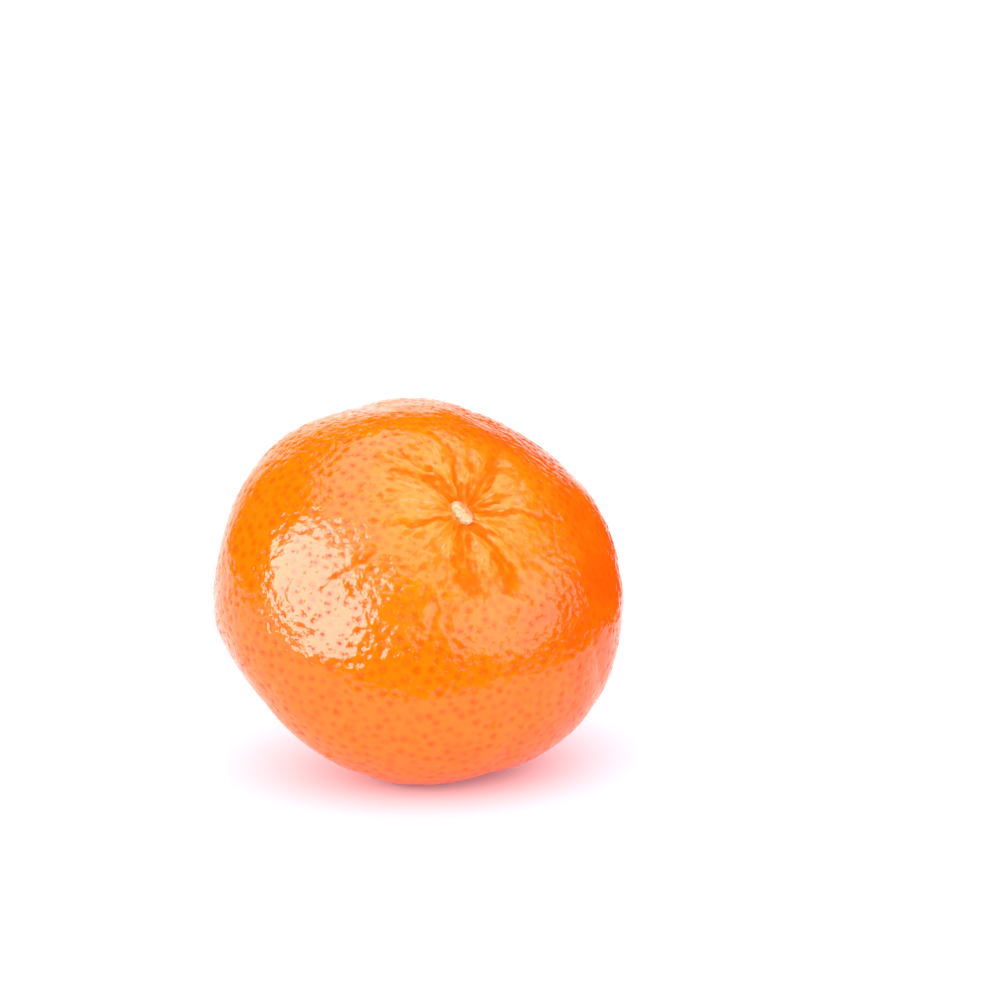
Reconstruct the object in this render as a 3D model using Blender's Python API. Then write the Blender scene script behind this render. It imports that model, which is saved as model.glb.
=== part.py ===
"""A mandarin, lying as it came to rest: on a small flat spot, with its stem end leaning forward.

The fruit is first shaped upright, its own axis along Z with the stem end on top and its
middle at the origin. Then it is laid over, and the lowest of its skin is pressed flat.
Units are metres. The origin is on the ground, under the middle of the fruit.
"""
from collections import namedtuple
import math

import bmesh
import bpy
from mathutils import Matrix, Vector
import numpy as np

MM = 0.001

# The upright fruit: a flattened ball, 62 mm across.
EQUATOR_RADIUS = 31.0 * MM
STEM_END_RADIUS = 25.6 * MM
BLOSSOM_END_RADIUS = 25.2 * MM

# How it lies: how far its axis leans from the vertical, and the way the stem end faces.
LEAN = math.radians(47.8)
HEADING = math.radians(-68.9)

# The flat spot it rests on.
MIDDLE_HEIGHT = 26.9 * MM
SHOULDER_SOFTNESS = 0.3 * MM
FLAT_LEVEL = 0.15 * SHOULDER_SOFTNESS

# The ten segments inside show faintly through the peel as ribs.
SEGMENTS = 10
VALLEY_DEPTH = 0.28 * MM
VALLEY_SHARPNESS = 2
RIB_TURN = math.radians(9)

# The dimple round the stem button, with an oval socket whose level floor the button sits on.
# The socket's radii are along its length. Its turn is round the fruit's axis.
DIMPLE_DEPTH = 1.9 * MM
DIMPLE_RADIUS = 5.5 * MM
SOCKET_FLOOR = 22.45 * MM
SOCKET_RADIUS = 2.6 * MM
SOCKET_RIM = 3.6 * MM
SOCKET_OVAL = 1.6
SOCKET_TURN = math.radians(27)

# The hollow at the blossom end, with its small scar.
NAVEL_DEPTH = 1.3 * MM
NAVEL_RADIUS = 5.0 * MM
SCAR_HEIGHT = 0.5 * MM
SCAR_RADIUS = 1.4 * MM

# The stem button: an oval disc, a little domed. The profile gives its width, as a share of the
# full one, at shares of its thickness from the foot up.
BUTTON_LENGTH = 4.2 * MM
BUTTON_WIDTH = 2.2 * MM
BUTTON_THICKNESS = 0.8 * MM
BUTTON_DOME = 0.2 * MM
BUTTON_PROFILE = ((0.0, 0.80), (0.3, 1.0), (0.7, 1.0), (1.0, 0.82))
DOME_RING = 0.4
GAP = 0.3 * MM

# Furrows run out of the dimple. Angles are round the fruit's axis, from the side it leans to.
# Bend is how far a furrow has turned when it reaches its end. A furrow has its full depth up to
# the fading share of its reach.
FURROW_SHARPNESS = 1.2
FURROW_ROUNDNESS = 1.5
FURROW_FADING = 0.55
Furrow = namedtuple("Furrow", "angle reach width depth bend")
FURROWS = (
    Furrow(angle=343, reach=15 * MM, width=2.2 * MM, depth=1.00 * MM, bend=4),
    Furrow(angle=28, reach=19 * MM, width=1.1 * MM, depth=0.60 * MM, bend=-3),
    Furrow(angle=22, reach=9 * MM, width=0.7 * MM, depth=0.30 * MM, bend=25),
    Furrow(angle=78, reach=20 * MM, width=0.8 * MM, depth=0.35 * MM, bend=3),
    Furrow(angle=103, reach=12 * MM, width=0.8 * MM, depth=0.40 * MM, bend=0),
    Furrow(angle=125, reach=18 * MM, width=1.3 * MM, depth=0.80 * MM, bend=18),
    Furrow(angle=150, reach=14 * MM, width=0.8 * MM, depth=0.35 * MM, bend=13),
    Furrow(angle=171, reach=18 * MM, width=1.0 * MM, depth=0.60 * MM, bend=10),
    Furrow(angle=192, reach=17 * MM, width=0.9 * MM, depth=0.45 * MM, bend=26),
    Furrow(angle=197, reach=17 * MM, width=1.0 * MM, depth=0.55 * MM, bend=45),
    Furrow(angle=292, reach=18 * MM, width=0.8 * MM, depth=0.35 * MM, bend=-28),
)

# Broad flats (negative) and swells that make this fruit no perfect ball. Polar is measured
# from the stem end, around as for the furrows, and width is an angle too.
Swell = namedtuple("Swell", "polar around width height")
SWELLS = (
    Swell(polar=73, around=73, width=18, height=0.3 * MM),
    Swell(polar=60, around=100, width=14, height=0.1 * MM),
    Swell(polar=54, around=137, width=22, height=-1.9 * MM),
    Swell(polar=59, around=173, width=18, height=-0.8 * MM),
    Swell(polar=68, around=196, width=14, height=-1.2 * MM),
    Swell(polar=85, around=221, width=18, height=0.3 * MM),
    Swell(polar=100, around=242, width=12, height=-0.6 * MM),
    Swell(polar=111, around=262, width=14, height=1.2 * MM),
    Swell(polar=122, around=295, width=18, height=-1.6 * MM),
    Swell(polar=125, around=326, width=14, height=-1.6 * MM),
    Swell(polar=114, around=6, width=14, height=-1.2 * MM),
    Swell(polar=93, around=45, width=18, height=0.9 * MM),
    Swell(polar=152, around=0, width=20, height=0.6 * MM),
)

# The mesh. Its rows are closer at the two ends of the fruit than evenly spaced ones, by this much.
AROUND_STEPS = 72
POLAR_STEPS = 48
END_CROWDING = 0.45
BUTTON_SIDES = 24
SHARP_ANGLE = math.radians(50)

PEEL = {"name": "orange_peel", "colour": (1.0, 0.25, 0.005), "roughness": 0.28}
WOOD = {"name": "pale_stem_wood", "colour": (0.80, 0.62, 0.36), "roughness": 0.75}


def clear_scene():
    """Remove what is in the scene already."""
    for obj in list(bpy.data.objects):
        bpy.data.objects.remove(obj, do_unlink=True)


def ease(value, start, end):
    """Rise smoothly from 0 at start to 1 at end."""
    t = np.clip((value - start) / (end - start), 0, 1)
    return t * t * (3 - 2 * t)


def angle_between(angles, middle):
    """The signed turn from middle to each angle, the short way round."""
    return (angles - middle + np.pi) % (2 * np.pi) - np.pi


def unit_vector(polar, around):
    """The direction at these angles, in degrees, in the upright fruit."""
    polar, around = np.radians(polar), np.radians(around)
    return np.array((np.sin(polar) * np.cos(around), np.sin(polar) * np.sin(around), np.cos(polar)))


def flattened_ball(directions):
    """The radius of the plain ball, whose two ends are flattened differently."""
    across = directions[:, 0] ** 2 + directions[:, 1] ** 2
    along = directions[:, 2]
    half_height = np.where(along > 0, STEM_END_RADIUS, BLOSSOM_END_RADIUS)
    return 1 / np.sqrt(across / EQUATOR_RADIUS ** 2 + (along / half_height) ** 2)


def swelling(directions):
    """The broad flats and swells of the whole fruit."""
    total = np.zeros(len(directions))
    for swell in SWELLS:
        turn = np.arccos(np.clip(directions @ unit_vector(swell.polar, swell.around), -1, 1))
        total += swell.height * np.exp(-(turn / math.radians(swell.width)) ** 2)
    return total


def ribs(directions):
    """The faint ribs over the segments, with narrow valleys between them."""
    around = np.arctan2(directions[:, 1], directions[:, 0])
    across = np.hypot(directions[:, 0], directions[:, 1])
    valleys = 1 - np.abs(np.sin((around - RIB_TURN) * SEGMENTS / 2))
    return -VALLEY_DEPTH * valleys ** VALLEY_SHARPNESS * across ** 2


def furrows(around, off_axis):
    """The furrows that run out of the stem dimple. They are V-shaped, with a rounded bottom."""
    total = np.zeros(len(around))
    for furrow in FURROWS:
        middle = np.radians(furrow.angle + furrow.bend * off_axis / furrow.reach)
        aside = angle_between(around, middle) * off_axis / furrow.width
        lengthways = ease(off_axis, SOCKET_RADIUS * 0.5, SOCKET_RIM)
        lengthways *= 1 - ease(off_axis, furrow.reach * FURROW_FADING, furrow.reach)
        profile = np.exp(-FURROW_SHARPNESS * np.abs(aside) ** FURROW_ROUNDNESS)
        total = np.minimum(total, -furrow.depth * lengthways * profile)
    return total


def socket_distance(places):
    """How far out each place is in the oval of the socket, as a radius along its length."""
    along = places[:, 0] * math.cos(SOCKET_TURN) + places[:, 1] * math.sin(SOCKET_TURN)
    across = places[:, 1] * math.cos(SOCKET_TURN) - places[:, 0] * math.sin(SOCKET_TURN)
    return np.hypot(along, across * SOCKET_OVAL)


def skin_radius(directions):
    """How far the skin is from the fruit's middle, along each direction of the upright fruit."""
    radius = flattened_ball(directions) + swelling(directions) + ribs(directions)
    along = directions[:, 2]
    off_axis = radius * np.hypot(directions[:, 0], directions[:, 1])
    around = np.arctan2(directions[:, 1], directions[:, 0])

    stem_side = along > 0
    dimple = -DIMPLE_DEPTH * np.exp(-(off_axis / DIMPLE_RADIUS) ** 2)
    radius += np.where(stem_side, dimple + furrows(around, off_axis), 0)
    # The floor is level, so it is further from the middle along a slanting direction.
    level_floor = SOCKET_FLOOR / np.maximum(along, 0.5)
    outside_socket = ease(socket_distance(directions * radius[:, None]), SOCKET_RADIUS, SOCKET_RIM)
    radius = np.where(stem_side, level_floor + (radius - level_floor) * outside_socket, radius)

    navel = -NAVEL_DEPTH * np.exp(-(off_axis / NAVEL_RADIUS) ** 2)
    navel += SCAR_HEIGHT * np.exp(-(off_axis / SCAR_RADIUS) ** 4)
    return radius + np.where(stem_side, 0, navel)


def laid_over():
    """The turn from the upright fruit to how it lies."""
    return Matrix.Rotation(HEADING, 3, "Z") @ Matrix.Rotation(LEAN, 3, "Y")


def press_flat(height):
    """Ease heights near or below the ground up to just above it."""
    return SHOULDER_SOFTNESS * np.logaddexp(0, height / SHOULDER_SOFTNESS) - FLAT_LEVEL


def shaped_fruit():
    """The fruit as it lies, with its flat spot at height 0."""
    bm = bmesh.new()
    bmesh.ops.create_uvsphere(bm, u_segments=AROUND_STEPS, v_segments=POLAR_STEPS, radius=1)
    ball = np.array([vert.co for vert in bm.verts])
    even = np.arccos(np.clip(ball[:, 2], -1, 1))
    polar = even - END_CROWDING * np.sin(2 * even) / 2
    around = np.arctan2(ball[:, 1], ball[:, 0])
    directions = np.stack((np.sin(polar) * np.cos(around),
                           np.sin(polar) * np.sin(around),
                           np.cos(polar)), axis=1)
    places = (directions * skin_radius(directions)[:, None]) @ np.array(laid_over()).T
    places[:, 2] = press_flat(places[:, 2] + MIDDLE_HEIGHT)
    for vert, place in zip(bm.verts, places):
        vert.co = place
    cut = bmesh.ops.bisect_plane(bm, geom=bm.verts[:] + bm.edges[:] + bm.faces[:],
                                 plane_co=(0, 0, 0), plane_no=(0, 0, 1), clear_inner=True)
    rim = [item for item in cut["geom_cut"] if isinstance(item, bmesh.types.BMEdge)]
    for edge in rim:
        for vert in edge.verts:
            vert.co.z = 0
    bmesh.ops.edgeloop_fill(bm, edges=rim)
    bmesh.ops.recalc_face_normals(bm, faces=bm.faces)
    return bm


def shaped_button():
    """The stem button as it lies, in the socket."""
    bm = bmesh.new()
    foot = SOCKET_FLOOR + GAP
    top = foot + BUTTON_THICKNESS
    levels = [(foot + BUTTON_THICKNESS * up, share) for up, share in BUTTON_PROFILE]
    levels.append((top + BUTTON_DOME * (1 - DOME_RING ** 2), DOME_RING))
    rings = []
    for height, share in levels:
        ring = []
        for side in range(BUTTON_SIDES):
            angle = 2 * math.pi * side / BUTTON_SIDES
            ring.append(bm.verts.new((share * BUTTON_LENGTH / 2 * math.cos(angle),
                                      share * BUTTON_WIDTH / 2 * math.sin(angle), height)))
        rings.append(ring)
    for lower, upper in zip(rings, rings[1:]):
        for side in range(BUTTON_SIDES):
            after = (side + 1) % BUTTON_SIDES
            bm.faces.new((lower[side], lower[after], upper[after], upper[side]))
    crown = bm.verts.new((0, 0, top + BUTTON_DOME))
    for side in range(BUTTON_SIDES):
        bm.faces.new((rings[-1][side], rings[-1][(side + 1) % BUTTON_SIDES], crown))
    bm.faces.new(list(reversed(rings[0])))
    bmesh.ops.rotate(bm, verts=bm.verts, cent=(0, 0, 0), matrix=Matrix.Rotation(SOCKET_TURN, 3, "Z"))
    bmesh.ops.rotate(bm, verts=bm.verts, cent=(0, 0, 0), matrix=laid_over())
    bmesh.ops.translate(bm, verts=bm.verts, vec=(0, 0, MIDDLE_HEIGHT - FLAT_LEVEL))
    return bm


def material(look):
    """A plain material with the colour and roughness of one finish."""
    made = bpy.data.materials.new(look["name"])
    made.use_nodes = True
    shader = made.node_tree.nodes["Principled BSDF"]
    shader.inputs["Base Color"].default_value = (*look["colour"], 1)
    shader.inputs["Roughness"].default_value = look["roughness"]
    shader.inputs["Metallic"].default_value = 0
    made.diffuse_color = (*look["colour"], 1)
    return made


def add_object(name, bm, look):
    """Turn a finished mesh into a named object."""
    mesh = bpy.data.meshes.new(name)
    bm.to_mesh(mesh)
    bm.free()
    mesh.materials.append(material(look))
    mesh.shade_smooth()
    mesh.set_sharp_from_angle(angle=SHARP_ANGLE)
    obj = bpy.data.objects.new(name, mesh)
    bpy.context.scene.collection.objects.link(obj)
    return obj


def middle_of_box(bm):
    """The point on the ground under the middle of the mesh's box."""
    corners = [[function(vert.co[axis] for vert in bm.verts) for axis in (0, 1)] for function in (min, max)]
    return Vector(((corners[0][0] + corners[1][0]) / 2, (corners[0][1] + corners[1][1]) / 2, 0))


def build():
    """Make the fruit and its stem button, with the origin under the fruit's middle."""
    clear_scene()
    fruit = shaped_fruit()
    button = shaped_button()
    to_origin = -middle_of_box(fruit)
    for bm in (fruit, button):
        bmesh.ops.translate(bm, verts=bm.verts, vec=to_origin)
    add_object("fruit", fruit, PEEL)
    add_object("stem_button", button, WOOD)


build()
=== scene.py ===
"""The looks of one mandarin, as it lies on a white table with its stem end leaning forward."""
from collections import namedtuple
import math

import bmesh
import bpy
from mathutils import Matrix, Quaternion, Vector, kdtree, noise
import numpy as np


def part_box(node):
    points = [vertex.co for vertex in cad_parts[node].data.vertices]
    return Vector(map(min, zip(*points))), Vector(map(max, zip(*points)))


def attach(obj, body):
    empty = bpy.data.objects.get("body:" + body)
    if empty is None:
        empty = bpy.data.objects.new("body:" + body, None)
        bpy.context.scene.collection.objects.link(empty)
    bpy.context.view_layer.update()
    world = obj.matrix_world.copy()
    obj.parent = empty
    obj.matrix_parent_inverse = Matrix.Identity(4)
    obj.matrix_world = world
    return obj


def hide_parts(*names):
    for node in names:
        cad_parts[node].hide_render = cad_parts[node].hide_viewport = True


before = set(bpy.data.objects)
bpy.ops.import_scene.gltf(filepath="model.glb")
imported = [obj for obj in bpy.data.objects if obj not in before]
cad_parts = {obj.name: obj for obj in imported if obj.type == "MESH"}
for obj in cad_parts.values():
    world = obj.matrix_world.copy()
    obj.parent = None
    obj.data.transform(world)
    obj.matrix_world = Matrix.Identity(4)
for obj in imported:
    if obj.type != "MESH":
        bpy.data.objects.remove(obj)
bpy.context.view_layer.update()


# The fruit's form. A mandarin grows as a flattened ball, dimpled where the stem came off and
# hollow at the blossom end. It lies on a small flat spot. The form is worked out upright, with
# the stem end on top, and then laid over, as the solid in the frame is.
MM = 0.001
EQUATOR_RADIUS = 31.0 * MM
STEM_END_RADIUS = 25.6 * MM
BLOSSOM_END_RADIUS = 25.2 * MM
LEAN = math.radians(47.8)
HEADING = math.radians(-68.9)
MIDDLE_HEIGHT = 26.9 * MM
SHOULDER_SOFTNESS = 0.3 * MM
FLAT_LEVEL = 0.15 * SHOULDER_SOFTNESS
SEGMENTS = 10
VALLEY_DEPTH = 0.28 * MM
VALLEY_SHARPNESS = 2
RIB_TURN = math.radians(9)
DIMPLE_DEPTH = 1.9 * MM
DIMPLE_RADIUS = 5.5 * MM
# The socket fits more closely round the stem button than the solid's does, so no gap shows.
SOCKET_FLOOR = 22.7 * MM
SOCKET_RADIUS = 1.6 * MM
SOCKET_RIM = 2.5 * MM
SOCKET_OVAL = 1.6
SOCKET_TURN = math.radians(27)
NAVEL_DEPTH = 1.3 * MM
NAVEL_RADIUS = 5.0 * MM
SCAR_HEIGHT = 0.5 * MM
SCAR_RADIUS = 1.4 * MM

# Angles below are in degrees. A furrow starts at its angle round the stem and bends as it runs out.
FURROW_SHARPNESS = 1.2
FURROW_ROUNDNESS = 1.5
FURROW_FADING = 0.55
Furrow = namedtuple("Furrow", "angle reach width depth bend")
FURROWS = (
    Furrow(angle=343, reach=15 * MM, width=2.2 * MM, depth=1.00 * MM, bend=4),
    Furrow(angle=28, reach=19 * MM, width=1.1 * MM, depth=0.60 * MM, bend=-3),
    Furrow(angle=22, reach=9 * MM, width=0.7 * MM, depth=0.30 * MM, bend=25),
    Furrow(angle=78, reach=20 * MM, width=0.8 * MM, depth=0.35 * MM, bend=3),
    Furrow(angle=103, reach=12 * MM, width=0.8 * MM, depth=0.40 * MM, bend=0),
    Furrow(angle=125, reach=18 * MM, width=1.3 * MM, depth=0.80 * MM, bend=18),
    Furrow(angle=150, reach=14 * MM, width=0.8 * MM, depth=0.35 * MM, bend=13),
    Furrow(angle=171, reach=18 * MM, width=1.0 * MM, depth=0.60 * MM, bend=10),
    Furrow(angle=192, reach=17 * MM, width=0.9 * MM, depth=0.45 * MM, bend=26),
    Furrow(angle=197, reach=17 * MM, width=1.0 * MM, depth=0.55 * MM, bend=45),
    Furrow(angle=292, reach=18 * MM, width=0.8 * MM, depth=0.35 * MM, bend=-28),
)

Swell = namedtuple("Swell", "polar around width height")
SWELLS = (
    Swell(polar=73, around=73, width=18, height=0.3 * MM),
    Swell(polar=60, around=100, width=14, height=0.1 * MM),
    Swell(polar=54, around=137, width=22, height=-1.9 * MM),
    Swell(polar=59, around=173, width=18, height=-0.8 * MM),
    Swell(polar=68, around=196, width=14, height=-1.2 * MM),
    Swell(polar=85, around=221, width=18, height=0.3 * MM),
    Swell(polar=100, around=242, width=12, height=-0.6 * MM),
    Swell(polar=111, around=262, width=14, height=1.2 * MM),
    Swell(polar=122, around=295, width=18, height=-1.6 * MM),
    Swell(polar=125, around=326, width=14, height=-1.6 * MM),
    Swell(polar=114, around=6, width=14, height=-1.2 * MM),
    Swell(polar=93, around=45, width=18, height=0.9 * MM),
    Swell(polar=152, around=0, width=20, height=0.6 * MM),
)


def ease(value, start, end):
    """Rise smoothly from 0 at start to 1 at end."""
    t = np.clip((value - start) / (end - start), 0, 1)
    return t * t * (3 - 2 * t)


def angle_between(angles, middle):
    """The signed turn from middle to each angle, the short way round."""
    return (angles - middle + np.pi) % (2 * np.pi) - np.pi


def directions_at(polar, around):
    """Unit vectors of the upright fruit, at angles in radians."""
    return np.stack((np.sin(polar) * np.cos(around),
                     np.sin(polar) * np.sin(around),
                     np.cos(polar)), axis=-1)


def flattened_ball(directions):
    """The radius of the plain ball, whose two ends are flattened differently."""
    across = directions[:, 0] ** 2 + directions[:, 1] ** 2
    along = directions[:, 2]
    half_height = np.where(along > 0, STEM_END_RADIUS, BLOSSOM_END_RADIUS)
    return 1 / np.sqrt(across / EQUATOR_RADIUS ** 2 + (along / half_height) ** 2)


def swelling(directions):
    """The broad flats and swells of the whole fruit."""
    total = np.zeros(len(directions))
    for swell in SWELLS:
        middle = directions_at(math.radians(swell.polar), math.radians(swell.around))
        turn = np.arccos(np.clip(directions @ middle, -1, 1))
        total += swell.height * np.exp(-(turn / math.radians(swell.width)) ** 2)
    return total


def ribs(directions):
    """The faint ribs over the segments, with narrow valleys between them."""
    around = np.arctan2(directions[:, 1], directions[:, 0])
    across = np.hypot(directions[:, 0], directions[:, 1])
    valleys = 1 - np.abs(np.sin((around - RIB_TURN) * SEGMENTS / 2))
    return -VALLEY_DEPTH * valleys ** VALLEY_SHARPNESS * across ** 2


def furrow_shares(around, off_axis):
    """How fully each place lies in each furrow: 1 on its middle line, and 0 outside it."""
    shares = []
    for furrow in FURROWS:
        middle = np.radians(furrow.angle + furrow.bend * off_axis / furrow.reach)
        aside = angle_between(around, middle) * off_axis / furrow.width
        lengthways = ease(off_axis, SOCKET_RADIUS * 0.5, SOCKET_RIM)
        lengthways *= 1 - ease(off_axis, furrow.reach * FURROW_FADING, furrow.reach)
        shares.append(lengthways * np.exp(-FURROW_SHARPNESS * np.abs(aside) ** FURROW_ROUNDNESS))
    return np.array(shares)


def furrows(around, off_axis):
    """The furrows that run out of the stem dimple. They are V-shaped, with a rounded bottom."""
    depths = np.array([furrow.depth for furrow in FURROWS])
    return -(depths[:, None] * furrow_shares(around, off_axis)).max(axis=0)


def socket_distance(places):
    """How far out each place is in the oval of the socket, as a radius along its length."""
    along = places[:, 0] * math.cos(SOCKET_TURN) + places[:, 1] * math.sin(SOCKET_TURN)
    across = places[:, 1] * math.cos(SOCKET_TURN) - places[:, 0] * math.sin(SOCKET_TURN)
    return np.hypot(along, across * SOCKET_OVAL)


def skin_radius(directions):
    """How far the skin is from the fruit's middle, along each direction of the upright fruit."""
    radius = flattened_ball(directions) + swelling(directions) + ribs(directions)
    along = directions[:, 2]
    off_axis = radius * np.hypot(directions[:, 0], directions[:, 1])
    around = np.arctan2(directions[:, 1], directions[:, 0])

    stem_side = along > 0
    dimple = -DIMPLE_DEPTH * np.exp(-(off_axis / DIMPLE_RADIUS) ** 2)
    radius += np.where(stem_side, dimple + furrows(around, off_axis), 0)
    # The floor is level, so it is further from the middle along a slanting direction.
    level_floor = SOCKET_FLOOR / np.maximum(along, 0.5)
    outside_socket = ease(socket_distance(directions * radius[:, None]), SOCKET_RADIUS, SOCKET_RIM)
    radius = np.where(stem_side, level_floor + (radius - level_floor) * outside_socket, radius)

    navel = -NAVEL_DEPTH * np.exp(-(off_axis / NAVEL_RADIUS) ** 2)
    navel += SCAR_HEIGHT * np.exp(-(off_axis / SCAR_RADIUS) ** 4)
    return radius + np.where(stem_side, 0, navel)


def lay_over(points):
    """Turn points of the upright fruit to how it lies, its middle over the origin."""
    turn = Matrix.Rotation(HEADING, 3, "Z") @ Matrix.Rotation(LEAN, 3, "Y")
    return points @ np.array(turn).T + np.array((0, 0, MIDDLE_HEIGHT))


def press_flat(height):
    """Ease heights near or below the ground up to the flat spot."""
    return np.maximum(SHOULDER_SOFTNESS * np.logaddexp(0, height / SHOULDER_SOFTNESS) - FLAT_LEVEL, 0)


# The oil glands lie just under the skin, about 2 mm apart, as soft darker spots. Over many of
# them the skin is sunk into a small pit. The gland points start on a spiral and are shaken, and
# then pushed apart, so that they lie evenly but never in rows.
GLAND_COUNT = 3100
GLAND_RADIUS = 0.74 * MM
GLAND_RADIUS_SPREAD = 0.14
PIT_RADIUS = 0.58 * MM
PIT_DEPTH = 0.22 * MM
GLAND_SPACING = math.sqrt(4 * math.pi / GLAND_COUNT)
GLAND_SHAKE = 0.35
PUSHES = 3
PUSH_SHARE = 0.4
NEIGHBOURS = 6
GLAND_SEED = 11

chance = np.random.default_rng(GLAND_SEED)


def scatter_glands():
    """Directions of the glands, even but irregular."""
    index = np.arange(GLAND_COUNT) + 0.5
    golden_turn = math.pi * (1 + math.sqrt(5))
    points = directions_at(np.arccos(1 - 2 * index / GLAND_COUNT), golden_turn * index)
    points += chance.normal(0, GLAND_SPACING * GLAND_SHAKE, points.shape)
    for _ in range(PUSHES):
        points /= np.linalg.norm(points, axis=1)[:, None]
        tree = kdtree.KDTree(GLAND_COUNT)
        for number, point in enumerate(points):
            tree.insert(point, number)
        tree.balance()
        pushed = points.copy()
        for number, point in enumerate(points):
            for place, other, distance in tree.find_n(point, NEIGHBOURS):
                if other != number and distance < GLAND_SPACING:
                    away = point - np.array(place)
                    pushed[number] += away * (GLAND_SPACING - distance) / max(distance, 1e-6) * PUSH_SHARE
        points = pushed
    return points / np.linalg.norm(points, axis=1)[:, None]


# The fine skin: an even net of cells about 0.4 mm wide, on the six sides of a cube that is
# blown up to a ball. The cell corner nearest each gland is moved onto it, so that every pit
# has its true lowest point.
CELLS = 127


def even_net():
    """A mesh of the unit ball with even square cells."""
    bm = bmesh.new()
    sides = [Matrix.Rotation(math.pi / 2 * quarter, 3, "X") for quarter in range(4)]
    sides += [Matrix.Rotation(math.pi / 2, 3, "Y"), Matrix.Rotation(-math.pi / 2, 3, "Y")]
    for side in sides:
        grid = bmesh.ops.create_grid(bm, x_segments=CELLS, y_segments=CELLS, size=1)["verts"]
        bmesh.ops.translate(bm, verts=grid, vec=(0, 0, 1))
        bmesh.ops.rotate(bm, verts=grid, cent=(0, 0, 0), matrix=side)
    bmesh.ops.remove_doubles(bm, verts=bm.verts, dist=1e-4)
    bmesh.ops.recalc_face_normals(bm, faces=bm.faces)
    mesh = bpy.data.meshes.new("peel")
    bm.to_mesh(mesh)
    bm.free()
    return mesh


peel_mesh = even_net()
corner_count = len(peel_mesh.vertices)
flat_coordinates = np.empty(corner_count * 3)
peel_mesh.vertices.foreach_get("co", flat_coordinates)
directions = np.tan(flat_coordinates.reshape(-1, 3) * math.pi / 4)
directions /= np.linalg.norm(directions, axis=1)[:, None]

glands = scatter_glands()
corner_tree = kdtree.KDTree(corner_count)
for number, direction in enumerate(directions):
    corner_tree.insert(direction, number)
corner_tree.balance()
for gland in glands:
    directions[corner_tree.find(gland)[1]] = gland

plain_skin = directions * skin_radius(directions)[:, None]
gland_places = glands * skin_radius(glands)[:, None]
gland_sizes = GLAND_RADIUS * np.exp(chance.normal(0, GLAND_RADIUS_SPREAD, GLAND_COUNT))
gland_tones = chance.random(GLAND_COUNT)

gland_tree = kdtree.KDTree(GLAND_COUNT)
for number, place in enumerate(gland_places):
    gland_tree.insert(place, number)
gland_tree.balance()
to_gland = np.empty(corner_count)
nearest_gland = np.empty(corner_count, dtype=int)
for number, place in enumerate(plain_skin):
    _, nearest_gland[number], to_gland[number] = gland_tree.find(place)

# The relief over that: pits, deeper in some patches, low lumps and broader waves between them,
# fine pleats that run into the stem dimple, furrows that wander, and a few creases further out.
# The whole skin is drawn in a little, so no lump leaves the solid's box.
PLAIN_DENTING = 0.25
UNEVEN_DENTING = 0.35
UNEVEN_WIDTH = 9.0 * MM
DentedPatch = namedtuple("DentedPatch", "polar around width")
DENTED_PATCHES = (
    DentedPatch(polar=49, around=317, width=12),
    DentedPatch(polar=38, around=301, width=10),
    DentedPatch(polar=30, around=319, width=7),
    DentedPatch(polar=46, around=46, width=11),
    DentedPatch(polar=66, around=285, width=13),
    DentedPatch(polar=64, around=212, width=22),
    DentedPatch(polar=38, around=270, width=9),
    DentedPatch(polar=50, around=234, width=8),
    DentedPatch(polar=34, around=78, width=14),
    DentedPatch(polar=40, around=110, width=10),
)
LUMP_WIDTH = 1.15 * MM
LUMP_HEIGHT = 0.06 * MM
WAVE_WIDTH = 4.5 * MM
WAVE_HEIGHT = 0.11 * MM
PLEAT_HEIGHT = 0.16 * MM
PLEAT_REACH = 16.0 * MM
PLEATS_AROUND = 4.5
PLEAT_START = 0.5 * MM
PLEAT_LENGTH = 5.0 * MM
BLOSSOM_PLEATING = 0.6
FOLD_DEPTH = 0.30 * MM
FOLD_WIDTH = 0.22
FOLDS_PER_PLEAT = 0.8
FURROW_WANDER = 0.9 * MM
FURROW_WANDER_WIDTH = 2.2 * MM
CREASE_ENDS = 4.0 * MM
DRAWN_IN = 0.14 * MM
FAR_AWAY = 99 * MM

# The second crease is raised. It fills a valley between two ribs.
Crease = namedtuple("Crease", "angle start end width depth")
CREASES = (
    Crease(angle=287, start=12.5 * MM, end=26 * MM, width=0.45 * MM, depth=0.20 * MM),
    Crease(angle=261, start=13 * MM, end=32 * MM, width=1.8 * MM, depth=-0.17 * MM),
    Crease(angle=347, start=5 * MM, end=15.5 * MM, width=2.7 * MM, depth=0.15 * MM),
    Crease(angle=20, start=5 * MM, end=17 * MM, width=1.9 * MM, depth=0.15 * MM),
)


def ripple(points, width):
    """Smooth noise from -1 to 1 over the points, with lumps about this wide."""
    return np.array([noise.noise(Vector(point)) for point in points / width])


stem_side = directions[:, 2] > 0
off_axis = np.hypot(plain_skin[:, 0], plain_skin[:, 1])
from_stem = np.where(stem_side, off_axis, FAR_AWAY)
from_blossom = np.where(stem_side, FAR_AWAY, off_axis)
past_socket = ease(from_stem, SOCKET_RADIUS, SOCKET_RIM)

# Each ripple is read at a shift of its own, so that no two of them rise together.
dented = PLAIN_DENTING + UNEVEN_DENTING * ease(ripple(plain_skin + 0.3, UNEVEN_WIDTH), -0.2, 0.4)
for patch in DENTED_PATCHES:
    middle = directions_at(math.radians(patch.polar), math.radians(patch.around))
    turn = np.arccos(np.clip(directions @ middle, -1, 1))
    dented = np.maximum(dented, np.exp(-(turn / math.radians(patch.width)) ** 4))
pit_strength = dented * (0.5 + 0.5 * gland_tones[nearest_gland])
pits = -PIT_DEPTH * pit_strength * np.exp(-(to_gland / PIT_RADIUS) ** 2)
lumps = LUMP_HEIGHT * ripple(plain_skin, LUMP_WIDTH)
waves = WAVE_HEIGHT * ripple(plain_skin + 0.5, WAVE_WIDTH)

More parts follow.
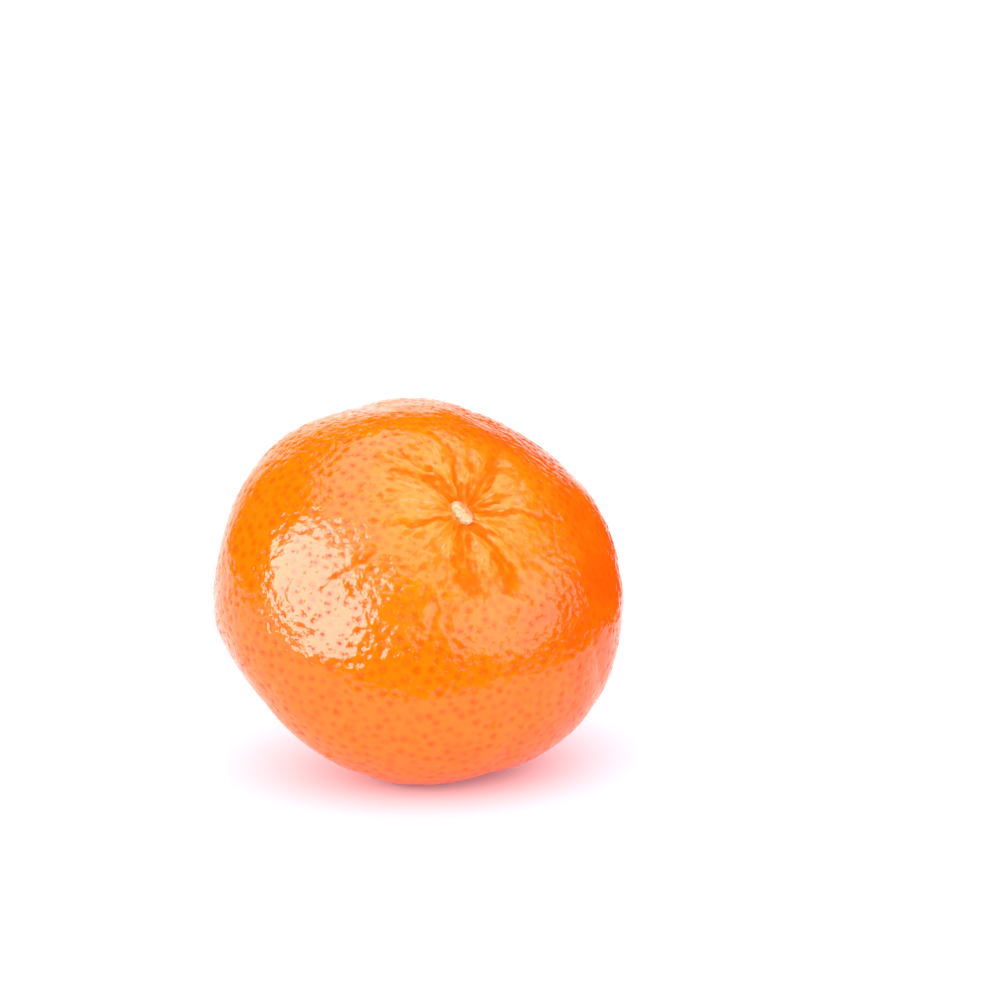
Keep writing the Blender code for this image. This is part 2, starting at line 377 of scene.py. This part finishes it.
# Places told as spokes: the first two numbers say which way from the axis, the third how far.
spoke = plain_skin / np.maximum(off_axis, PLEAT_START)[:, None] * PLEATS_AROUND
spoke[:, 2] = off_axis / PLEAT_LENGTH
pleat_share = past_socket * (1 - ease(from_stem, SOCKET_RIM, PLEAT_REACH))
pleat_share += BLOSSOM_PLEATING * (1 - ease(from_blossom, SCAR_RADIUS, NAVEL_RADIUS))
folds = np.exp(-(np.abs(ripple(spoke * FOLDS_PER_PLEAT + 7, 1)) / FOLD_WIDTH) ** 1.5)
pleats = pleat_share * (PLEAT_HEIGHT * ripple(spoke, 1) - FOLD_DEPTH * folds)

strayed = plain_skin[:, :2].copy()
for axis in (0, 1):
    strayed[:, axis] += FURROW_WANDER * ripple(plain_skin + 0.1 * (axis + 1), FURROW_WANDER_WIDTH)
strayed_around = np.arctan2(strayed[:, 1], strayed[:, 0])
strayed_out = np.hypot(strayed[:, 0], strayed[:, 1])
plain_furrows = furrows(np.arctan2(plain_skin[:, 1], plain_skin[:, 0]), off_axis)
ragged_furrows = furrows(strayed_around, strayed_out)
ragged_furrows = np.where(stem_side & (off_axis > SOCKET_RADIUS), ragged_furrows, plain_furrows)
stray = np.where(stem_side, ragged_furrows - plain_furrows, 0) * past_socket
in_furrow = furrow_shares(strayed_around, strayed_out).max(axis=0)
for crease in CREASES:
    aside = angle_between(strayed_around, math.radians(crease.angle)) * strayed_out / crease.width
    share = np.exp(-np.abs(aside) ** FURROW_ROUNDNESS)
    share *= ease(from_stem, crease.start, crease.start + CREASE_ENDS)
    share *= 1 - ease(from_stem, crease.end - CREASE_ENDS, crease.end)
    stray -= crease.depth * share
    in_furrow = np.maximum(in_furrow, np.where(crease.depth > 0, share, 0))

bumpy = ease(from_stem, SOCKET_RADIUS, SOCKET_RIM * 1.5)
relief = pits + (lumps + waves) * bumpy + pleats + stray - DRAWN_IN

skin_places = lay_over(plain_skin + directions * relief[:, None])
skin_places[:, 2] = press_flat(skin_places[:, 2])
solid_middle = (np.array(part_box("fruit")[0]) + np.array(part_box("fruit")[1])) / 2
fine_middle = (skin_places.min(axis=0) + skin_places.max(axis=0)) / 2
to_solid = np.array((solid_middle[0] - fine_middle[0], solid_middle[1] - fine_middle[1], 0))
skin_places += to_solid
peel_mesh.vertices.foreach_set("co", skin_places.ravel())
peel_mesh.update()
peel_mesh.shade_smooth()

# What the colours need to know of each point of the skin: how far it is from its gland, in
# gland radii, how dark that gland is, how dented the skin is here, how fully it lies in a
# furrow, how far it is from the two ends in millimetres, and how far it is toward the red side,
# whose redness is partly a real tint and partly painted shade on the side turned from the brightest lamp.
RED_AND_SHADED_SIDE = directions_at(math.radians(80), math.radians(90))
skin_facts = {
    "to_gland": to_gland / gland_sizes[nearest_gland],
    "gland_tone": gland_tones[nearest_gland],
    "dented": dented,
    "in_furrow": np.where(stem_side, in_furrow, 0),
    "from_stem": from_stem / MM,
    "from_blossom": from_blossom / MM,
    "redness_and_shade": 0.5 + 0.5 * directions @ RED_AND_SHADED_SIDE,
}
for fact, values in skin_facts.items():
    stored = peel_mesh.attributes.new(fact, "FLOAT", "POINT")
    stored.data.foreach_set("value", values.astype(np.float32))
stored = peel_mesh.attributes.new("spoke", "FLOAT_VECTOR", "POINT")
stored.data.foreach_set("vector", spoke.astype(np.float32).ravel())


# The peel's finish: waxed and glossy, deep orange, redder on one side, partly as a real tint and
# partly as painted shade, and yellower round the stem, with each oil gland a soft redder spot.
def add_node(tree, kind, **settings):
    """Add a node. A setting named like one of the node's fields is set there, and others as inputs."""
    made = tree.nodes.new(kind)
    for name, value in settings.items():
        if hasattr(made, name):
            setattr(made, name, value)
        else:
            socket = made.inputs[name.replace("_", " ")]
            if isinstance(value, bpy.types.NodeSocket):
                tree.links.new(value, socket)
            else:
                socket.default_value = value
    return made


def fact_of(tree, name):
    """The value that the skin stores under this name."""
    return add_node(tree, "ShaderNodeAttribute", attribute_name=name).outputs["Fac"]


def worked_out(tree, operation, *values):
    """The result of a sum on values or sockets."""
    made = tree.nodes.new("ShaderNodeMath")
    made.operation = operation
    for socket, value in zip(made.inputs, values):
        if isinstance(value, bpy.types.NodeSocket):
            tree.links.new(value, socket)
        else:
            socket.default_value = value
    return made.outputs[0]


def eased(tree, value, start, end, low=0.0, high=1.0):
    """The value carried smoothly from start..end over to low..high."""
    made = tree.nodes.new("ShaderNodeMapRange")
    made.interpolation_type = "SMOOTHSTEP"
    tree.links.new(value, made.inputs["Value"])
    for name, number in (("From Min", start), ("From Max", end), ("To Min", low), ("To Max", high)):
        made.inputs[name].default_value = number
    return made.outputs["Result"]


def blended(tree, share, first, second):
    """Two colours mixed by a share."""
    made = tree.nodes.new("ShaderNodeMix")
    made.data_type = "RGBA"
    for socket, value in ((made.inputs[0], share), (made.inputs[6], first), (made.inputs[7], second)):
        if isinstance(value, bpy.types.NodeSocket):
            tree.links.new(value, socket)
        else:
            socket.default_value = (*value, 1) if isinstance(value, tuple) else value
    return made.outputs[2]


def grain(tree, place, width, detail, roughness=0.5):
    """Noise from 0 to 1 with grains about this wide."""
    made = add_node(tree, "ShaderNodeTexNoise", Vector=place, Scale=1 / width,
                    Detail=detail, Roughness=roughness)
    return made.outputs["Fac"]


ORANGE = (1.0, 0.168, 0.001)
# Partly a real red tint and partly painted shade, for the side turned from the brightest lamp.
RED_ORANGE_AND_SHADE = (1.0, 0.084, 0.001)
YELLOW_ORANGE = (1.0, 0.270, 0.004)
GLAND_COLOUR = (1.0, 0.075, 0.001)
# Painted shade for the furrows and streaks.
FURROW_SHADE_COLOUR = (1.0, 0.118, 0.001)
# The colour of the painted glints.
GLINT_PAINT_COLOUR = (1.0, 0.36, 0.19)
SCAR_COLOUR = (0.26, 0.11, 0.035)

# The streaks and the painted glint lines are measured in the spokes' own units, and the rest in real sizes.
STREAK_WIDTH = 1 / 1.9
GLINT_LINE_WIDTH = 1 / 3.1
RIPE_PATCH_WIDTH = 9 * MM
GLAND_EDGE_GRAIN = 0.5 * MM
BLOTCH_WIDTH = 1.1 * MM
STREAK_PATCH_WIDTH = 5 * MM
GLINT_PATCH_WIDTH = 4 * MM
SCAR_EDGE_GRAIN = 0.6 * MM
SMEAR_WIDTH = 3 * MM
PORE_EDGE_GRAIN = 0.35 * MM
SPECK_SPACING = 0.85 * MM
SMALL_DENT_WIDTH = 0.65 * MM
FINE_GRAIN = 0.22 * MM

peel = bpy.data.materials.new("waxed_orange_peel")
peel.use_nodes = True
tree = peel.node_tree
shader = tree.nodes["Principled BSDF"]
place = add_node(tree, "ShaderNodeTexCoord").outputs["Object"]
gland_distance = fact_of(tree, "to_gland")
gland_tone = fact_of(tree, "gland_tone")
stem_distance = fact_of(tree, "from_stem")

patches = grain(tree, place, RIPE_PATCH_WIDTH, 3)
# The redder side is partly a real tint and partly painted shade, on the side turned from the brightest
# lamp.
redness_and_shade = worked_out(tree, "ADD", fact_of(tree, "redness_and_shade"), worked_out(tree, "SUBTRACT", patches, 0.5))
colour = blended(tree, eased(tree, redness_and_shade, 0.45, 1.10), ORANGE, RED_ORANGE_AND_SHADE)
colour = blended(tree, eased(tree, stem_distance, 4, 22, 0.8, 0), colour, YELLOW_ORANGE)

# The gland spots have ragged edges, and are fainter round the stem.
ragged = worked_out(tree, "MULTIPLY_ADD", grain(tree, place, GLAND_EDGE_GRAIN, 3), 0.9, -0.45)
gland_spot = eased(tree, worked_out(tree, "ADD", gland_distance, ragged), 0.35, 1.25, 1, 0)
gland_share = worked_out(tree, "MULTIPLY_ADD", gland_tone, 0.36, 0.28)
gland_share = worked_out(tree, "MULTIPLY", gland_share, eased(tree, stem_distance, 4, 19, 0.35, 1))
colour = blended(tree, worked_out(tree, "MULTIPLY", gland_spot, gland_share), colour, GLAND_COLOUR)

# Fine streaks and furrows run into the dimple. The skin is painted redder and darker in them, as painted
# shade in the folds.
spoke_place = add_node(tree, "ShaderNodeAttribute", attribute_name="spoke").outputs["Vector"]
streaks = grain(tree, spoke_place, STREAK_WIDTH, 5, 0.68)
blotches = grain(tree, place, BLOTCH_WIDTH, 4)
streak_patches = grain(tree, place, STREAK_PATCH_WIDTH, 1)
streak_reach = worked_out(tree, "MULTIPLY_ADD", streak_patches, 44, stem_distance)
streak_reach = eased(tree, streak_reach, 20.0, 46.0, 0.17, 0)
streak = eased(tree, worked_out(tree, "ADD", streaks, streak_reach), 0.63, 0.70)
uneven = worked_out(tree, "ADD", streaks, worked_out(tree, "MULTIPLY", blotches, 0.7))
furrow_edge = worked_out(tree, "SUBTRACT", fact_of(tree, "in_furrow"), 1.53)
furrow = eased(tree, worked_out(tree, "MULTIPLY_ADD", uneven, 1.8, furrow_edge), 0.36, 0.86)
furrow_shade_tone = worked_out(tree, "MULTIPLY", furrow, eased(tree, streaks, 0.40, 0.60, 0.5, 1.0))
furrow_shade_share = worked_out(tree, "MAXIMUM", furrow_shade_tone, worked_out(tree, "MULTIPLY", streak, 0.45))
colour = blended(tree, furrow_shade_share, colour, FURROW_SHADE_COLOUR)

# Painted glints: a few pale pink lines near the stem, on the ridges between the furrows, painted into the
# colour as highlights.
glint_lines = grain(tree, spoke_place, GLINT_LINE_WIDTH, 3, 0.6)
glint_patches = eased(tree, grain(tree, place, GLINT_PATCH_WIDTH, 1), 0.48, 0.60)
painted_glint = worked_out(tree, "MULTIPLY", eased(tree, glint_lines, 0.52, 0.64), glint_patches)
painted_glint = worked_out(tree, "MULTIPLY", painted_glint, eased(tree, stem_distance, 6.5, 11.5, 0.65, 0))
painted_glint = worked_out(tree, "MULTIPLY", painted_glint, eased(tree, furrow, 0.1, 0.6, 1, 0))
colour = blended(tree, painted_glint, colour, GLINT_PAINT_COLOUR)

# The small scar at the blossom end is brown, and duller than the waxed skin.
scar_edge = grain(tree, place, SCAR_EDGE_GRAIN, 3)
scar_edge = worked_out(tree, "MULTIPLY_ADD", scar_edge, 1.2, fact_of(tree, "from_blossom"))
colour = blended(tree, eased(tree, scar_edge, 1.4, 2.4, 0.9, 0), colour, SCAR_COLOUR)
tree.links.new(colour, shader.inputs["Base Color"])

dulled = eased(tree, scar_edge, 1.4, 2.6, 0.45, 0)
smear = worked_out(tree, "MULTIPLY_ADD", grain(tree, place, SMEAR_WIDTH, 3), 0.04, 0.02)
tree.links.new(worked_out(tree, "ADD", dulled, 0.35), shader.inputs["Roughness"])
tree.links.new(worked_out(tree, "ADD", dulled, smear), shader.inputs["Coat Roughness"])
shader.inputs["IOR"].default_value = 1.42
shader.inputs["Specular IOR Level"].default_value = 0.0
shader.inputs["Coat IOR"].default_value = 1.45
shader.inputs["Subsurface Weight"].default_value = 0.12
shader.inputs["Subsurface Radius"].default_value = (1.0, 0.35, 0.08)
shader.inputs["Subsurface Scale"].default_value = 1.2 * MM

# In the furrows and streaks the wax is taken away as painted shade, so that the folds do not
# mirror the lamps. The wax is thin or missing in the mouths of the larger pores, and at
# scattered specks.
pore_edge = worked_out(tree, "MULTIPLY_ADD", grain(tree, place, PORE_EDGE_GRAIN, 2), 0.6, gland_distance)
open_pores = eased(tree, gland_tone, 0.30, 0.70, 0.1, 1)
pore_mouth = worked_out(tree, "MULTIPLY", eased(tree, pore_edge, 0.52, 0.70, 1, 0), open_pores)
specks = add_node(tree, "ShaderNodeTexVoronoi", Vector=place, Scale=1 / SPECK_SPACING)
chosen = add_node(tree, "ShaderNodeSeparateColor", Color=specks.outputs["Color"]).outputs["Red"]
speck = eased(tree, specks.outputs["Distance"], 0.14, 0.30, 1, 0)
speck = worked_out(tree, "MULTIPLY", speck, eased(tree, chosen, 0.35, 0.7))

bare_wax_and_shade = worked_out(tree, "MULTIPLY", furrow, 0.95)
for spots, strength in ((streak, 0.8), (pore_mouth, 0.9), (speck, 0.85)):
    bare_wax_and_shade = worked_out(tree, "MAXIMUM", bare_wax_and_shade, worked_out(tree, "MULTIPLY", spots, strength))
tree.links.new(worked_out(tree, "SUBTRACT", 1.0, bare_wax_and_shade), shader.inputs["Coat Weight"])

# The finest relief is bump alone. Its heights are in millimetres.
gland_pit = eased(tree, gland_distance, 0.0, 0.45, -0.020, 0)
height = worked_out(tree, "MULTIPLY_ADD", speck, -0.015, gland_pit)
streak_height = worked_out(tree, "MULTIPLY", worked_out(tree, "SUBTRACT", 0.5, streaks), streak_reach)
height = worked_out(tree, "MULTIPLY_ADD", streak_height, 1.8, height)
small_dents = grain(tree, place, SMALL_DENT_WIDTH, 1)
small_dents = worked_out(tree, "MULTIPLY", small_dents, fact_of(tree, "dented"))
height = worked_out(tree, "MULTIPLY_ADD", small_dents, 0.15, height)
height = worked_out(tree, "MULTIPLY_ADD", grain(tree, place, FINE_GRAIN, 2), 0.010, height)
bump = add_node(tree, "ShaderNodeBump", Height=height, Strength=1.0, Distance=1 * MM)
tree.links.new(bump.outputs["Normal"], shader.inputs["Normal"])
tree.links.new(bump.outputs["Normal"], shader.inputs["Coat Normal"])

peel_mesh.materials.append(peel)
peel_piece = bpy.data.objects.new("peel", peel_mesh)
bpy.context.scene.collection.objects.link(peel_piece)
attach(peel_piece, "root")
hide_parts("fruit")


# The stem button: the dried end of the stem, a pale oval disc of woody, grainy tissue about
# 4 mm long. It stays in the dimple when the fruit is clipped, and the peel grows round its edge.
BUTTON_LENGTH = 4.2 * MM
BUTTON_WIDTH = 2.6 * MM
BUTTON_TOP = SOCKET_FLOOR + 0.80 * MM
BUTTON_FOOT = SOCKET_FLOOR - 0.3 * MM
BUTTON_DOME = 0.3 * MM
BUTTON_RINGS = 26
BUTTON_SIDES = 90
BUTTON_GRAIN = 0.35 * MM
BUTTON_GRAIN_HEIGHT = 0.11 * MM
BUTTON_EDGE = 0.86
BUTTON_BOXINESS = 2.7
BUTTON_FULLNESS = 0.94
BUTTON_RAGGEDNESS = 0.12
BUTTON_NICKS = 0.08
BUTTON_RIM_PLACE = 0.86
BUTTON_RIM_WIDTH = 0.12
BUTTON_RIM_HEIGHT = 0.12 * MM
BUTTON_BULGE = 0.05


def shaped_button():
    """The button in the upright fruit: rings of points from its crown out, and down to its foot."""
    bm = bmesh.new()
    rings = []
    for ring in range(1, BUTTON_RINGS + 1):
        share = ring / BUTTON_RINGS
        corners = []
        for side in range(BUTTON_SIDES):
            angle = 2 * math.pi * side / BUTTON_SIDES
            heading = Vector((math.cos(angle), math.sin(angle), 0))
            ragged = BUTTON_RAGGEDNESS * noise.noise(heading * 2.3)
            ragged += BUTTON_NICKS * noise.noise(heading * 6 + Vector((0, 0, 4)))
            boxy = abs(heading.x) ** BUTTON_BOXINESS + abs(heading.y) ** BUTTON_BOXINESS
            boxy = BUTTON_FULLNESS * boxy ** (-1 / BUTTON_BOXINESS)
            out = min(share / BUTTON_EDGE, 1) * (1 + ragged) * boxy
            spot = Vector((heading.x * BUTTON_LENGTH / 2, heading.y * BUTTON_WIDTH / 2, 0)) * out
            down = max(share - BUTTON_EDGE, 0) / (1 - BUTTON_EDGE)
            lumpy = noise.noise(spot / BUTTON_GRAIN) + 0.5 * noise.noise(spot / BUTTON_GRAIN * 2.1)
            rim = BUTTON_RIM_HEIGHT * math.exp(-((out - BUTTON_RIM_PLACE) / BUTTON_RIM_WIDTH) ** 2)
            height = BUTTON_TOP - BUTTON_DOME * out ** 3 + lumpy * BUTTON_GRAIN_HEIGHT + rim
            height += (BUTTON_FOOT - height) * down ** 1.5
            spread = 1 + BUTTON_BULGE * math.sin(down * math.pi)
            corners.append(bm.verts.new((spot.x * spread, spot.y * spread, height)))
        rings.append(corners)
    crown = bm.verts.new((0, 0, BUTTON_TOP))
    for side in range(BUTTON_SIDES):
        after = (side + 1) % BUTTON_SIDES
        bm.faces.new((crown, rings[0][side], rings[0][after]))
        for inner, outer in zip(rings, rings[1:]):
            bm.faces.new((inner[side], outer[side], outer[after], inner[after]))
    bm.faces.new(list(reversed(rings[-1])))
    bmesh.ops.rotate(bm, verts=bm.verts, cent=(0, 0, 0), matrix=Matrix.Rotation(SOCKET_TURN, 3, "Z"))
    return bm


# The button is darker orange-brown along one side, and all round its edge below this level.
DARKENING_LEVEL = BUTTON_TOP - 0.32 * MM
DARKENING_RISE = 4 / MM

button_shape = shaped_button()
across_button = np.array((-math.sin(SOCKET_TURN), math.cos(SOCKET_TURN), 0)) / (BUTTON_WIDTH / 2)
darkenings = []
for vert in button_shape.verts:
    low_down = DARKENING_RISE * max(DARKENING_LEVEL - vert.co.z, 0)
    darkenings.append(float(np.array(vert.co) @ across_button) + low_down)
    vert.co = Vector(lay_over(np.array(vert.co)) + to_solid) - Vector((0, 0, FLAT_LEVEL))
button_mesh = bpy.data.meshes.new("button")
button_shape.to_mesh(button_mesh)
button_shape.free()
button_mesh.shade_smooth()
button_mesh.attributes.new("darkened", "FLOAT", "POINT").data.foreach_set("value", darkenings)

CREAM = (0.74, 0.49, 0.25)
STRAW = (0.58, 0.30, 0.11)
BARK = (0.22, 0.09, 0.03)
DARK_ORANGE_BROWN = (0.55, 0.16, 0.02)
CRUMB_WIDTH = 0.3 * MM
DARK_CRUMB_WIDTH = 0.20 * MM
DARKENING_EDGE_GRAIN = 0.6 * MM

stem_wood = bpy.data.materials.new("pale_stem_wood")
stem_wood.use_nodes = True
tree = stem_wood.node_tree
shader = tree.nodes["Principled BSDF"]
place = add_node(tree, "ShaderNodeTexCoord").outputs["Object"]
crumbs = grain(tree, place, CRUMB_WIDTH, 3)
colour = blended(tree, eased(tree, crumbs, 0.35, 0.7), CREAM, STRAW)
dark_crumbs = eased(tree, grain(tree, place, DARK_CRUMB_WIDTH, 1), 0.57, 0.66, 0, 0.7)
colour = blended(tree, dark_crumbs, colour, BARK)
# The button turns darker orange-brown along one side and low round its edge.
darkening_edge = grain(tree, place, DARKENING_EDGE_GRAIN, 3)
darkening_edge = worked_out(tree, "MULTIPLY_ADD", darkening_edge, 1.3, fact_of(tree, "darkened"))
colour = blended(tree, eased(tree, darkening_edge, 0.70, 1.20, 0, 0.9), colour, DARK_ORANGE_BROWN)
tree.links.new(colour, shader.inputs["Base Color"])
tree.links.new(eased(tree, crumbs, 0.2, 0.8, 0.6, 0.85), shader.inputs["Roughness"])
bump = add_node(tree, "ShaderNodeBump", Height=crumbs, Strength=0.8, Distance=0.08 * MM)
tree.links.new(bump.outputs["Normal"], shader.inputs["Normal"])

button_mesh.materials.append(stem_wood)
button_piece = bpy.data.objects.new("button", button_mesh)
bpy.context.scene.collection.objects.link(button_piece)
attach(button_piece, "root")
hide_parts("stem_button")


# The white paper table that the fruit lies on, and a low white card far behind. The paper
# glows faintly by itself, as painted light that lightens the shadows on it. The table is in two
# parts that meet along one line. The peel mirrors the card and the lit part, but not the dim
# part in front and on the right. Past them the room is white.
LIT_EDGE = [(-1.0, 1.6), (-0.45, 0.25), (-0.47, -0.06), (-0.108, -0.057), (-0.059, -0.070),
            (-0.004, -0.060), (0.030, -0.062), (0.055, -0.055), (0.072, -0.040), (0.088, -0.012),
            (0.100, 0.012), (0.118, 0.040), (0.082, 0.072), (0.12, 0.25), (0.60, 1.3), (0.7, 1.6)]
DIM_EDGE = [(-1.6, 1.6), (-1.6, -0.8), (1.6, -0.8), (1.6, 1.6)]
PAPER_WHITE = (0.80, 0.75, 0.81)
PAPER_PAINTED_GLOW = (0.13, 0.09, 0.12)
CARD_DISTANCE = 1.3
CARD_EDGE = [(-1.0, 0), (0.6, 0), (0.6, 0.30), (0.3, 0.22), (0.19, 0.32), (0.12, 0.66),
             (0, 0.74), (-0.35, 0.90), (-0.62, 0.84), (-0.78, 0.62), (-1.0, 0.30)]
CARD_GREY = (0.5, 0.5, 0.5)
CARD_GLOW = (0.45, 0.45, 0.45)


def plain_finish(name, colour, glow):
    """A matt finish for the studio's own surfaces."""
    made = bpy.data.materials.new(name)
    made.use_nodes = True
    shader = made.node_tree.nodes["Principled BSDF"]
    shader.inputs["Base Color"].default_value = (*colour, 1)
    shader.inputs["Roughness"].default_value = 1
    shader.inputs["Specular IOR Level"].default_value = 0
    shader.inputs["Emission Color"].default_value = (*glow, 1)
    shader.inputs["Emission Strength"].default_value = 1
    return made


def studio_surface(name, corners, finish):
    """A flat surface of the studio, not part of the object."""
    bm = bmesh.new()
    bm.faces.new([bm.verts.new(corner) for corner in corners])
    mesh = bpy.data.meshes.new(name)
    bm.to_mesh(mesh)
    bm.free()
    mesh.materials.append(finish)
    made = bpy.data.objects.new(name, mesh)
    bpy.context.scene.collection.objects.link(made)
    return made


# The paper's faint glow is painted light that lightens its shadows.
paper = plain_finish("white_paper", PAPER_WHITE, PAPER_PAINTED_GLOW)
studio_surface("lit_table", [(x, y, 0) for x, y in LIT_EDGE], paper)
dim_corners = list(reversed(LIT_EDGE)) + DIM_EDGE
dim_table = studio_surface("dim_table", [(x, y, 0) for x, y in dim_corners], paper)
dim_table.visible_glossy = False
card_paper = plain_finish("white_card", CARD_GREY, CARD_GLOW)
card = studio_surface("card", [(x, CARD_DISTANCE, z) for x, z in CARD_EDGE], card_paper)
card.visible_camera = False


# The light: a soft white room for fill, and three soft boxes. The brightest stands in front on
# the left, a dimmer one on the right, and a broad one hangs overhead. Each box is two lamps in
# one place: one is what the waxed peel mirrors, and the other is the soft light it gives.
FILL = 1.6
fruit_middle = Vector((0, 0, MIDDLE_HEIGHT))


def soft_box(name, left, up, tilt, distance, wide, high, mirrored, given):
    """An oval soft box. The fruit sees it this far left of the camera and up, in degrees."""
    left, up = math.radians(left), math.radians(up)
    toward = Vector((-math.sin(left) * math.cos(up), -math.cos(left) * math.cos(up), math.sin(up)))
    for part, radiance in (("mirrored", mirrored), ("given", given)):
        light = bpy.data.lights.new(name + "_" + part, "AREA")
        light.shape = "ELLIPSE"
        light.size = 2 * distance * math.tan(math.radians(wide / 2))
        light.size_y = 2 * distance * math.tan(math.radians(high / 2))
        light.energy = radiance * math.pi * light.size * light.size_y * math.pi / 4
        lamp = bpy.data.objects.new(light.name, light)
        lamp.location = fruit_middle + toward * distance
        tilted = Quaternion((0, 0, 1), math.radians(tilt))
        lamp.rotation_euler = (toward.to_track_quat("Z", "Y") @ tilted).to_euler()
        lamp.visible_camera = False
        lamp.visible_diffuse = part == "given"
        lamp.visible_glossy = part == "mirrored"
        bpy.context.scene.collection.objects.link(lamp)


soft_box("left_box", left=52, up=18, tilt=-36, distance=0.8, wide=69, high=56, mirrored=11.5, given=1.5)
soft_box("right_box", left=-54, up=11, tilt=0, distance=0.9, wide=78, high=42, mirrored=3.0, given=0.5)
soft_box("overhead_box", left=-35, up=79.6, tilt=0, distance=0.8, wide=84, high=84, mirrored=2.8, given=1.3)

room = bpy.data.worlds.new("white_room")
room.use_nodes = True
room.node_tree.nodes["Background"].inputs["Color"].default_value = (1, 1, 1, 1)
room.node_tree.nodes["Background"].inputs["Strength"].default_value = FILL
bpy.context.scene.world = room
room.cycles_visibility.glossy = False

bpy.context.scene.view_settings.view_transform = "Standard"
bpy.context.scene.view_settings.look = "None"
bpy.context.scene.cycles.use_denoising = True


# The camera: half a metre away and 15 degrees above the fruit, with the fruit a little left of
# the middle of the picture and below it.
CAMERA_DISTANCE = 0.50
CAMERA_RISE = math.radians(15)
PICTURE_SIDE = 1000
PIXEL = 0.1505 * MM
FRUIT_IN_PICTURE = (418.4, 587.5)

ahead = Vector((0, math.cos(CAMERA_RISE), -math.sin(CAMERA_RISE)))
upward = Vector((0, math.sin(CAMERA_RISE), math.cos(CAMERA_RISE)))
aim = fruit_middle + Vector((1, 0, 0)) * (PICTURE_SIDE / 2 - FRUIT_IN_PICTURE[0]) * PIXEL
aim += upward * (FRUIT_IN_PICTURE[1] - PICTURE_SIDE / 2) * PIXEL
camera_data = bpy.data.cameras.new("camera")
camera_data.sensor_width = 36
camera_data.lens = camera_data.sensor_width * CAMERA_DISTANCE / (PICTURE_SIDE * PIXEL)
camera_data.clip_start = 0.02
camera_data.clip_end = 20
camera = bpy.data.objects.new("camera", camera_data)
camera.location = fruit_middle - ahead * CAMERA_DISTANCE
camera.rotation_euler = (aim - camera.location).to_track_quat("-Z", "Y").to_euler()
bpy.context.scene.collection.objects.link(camera)
bpy.context.scene.camera = camera
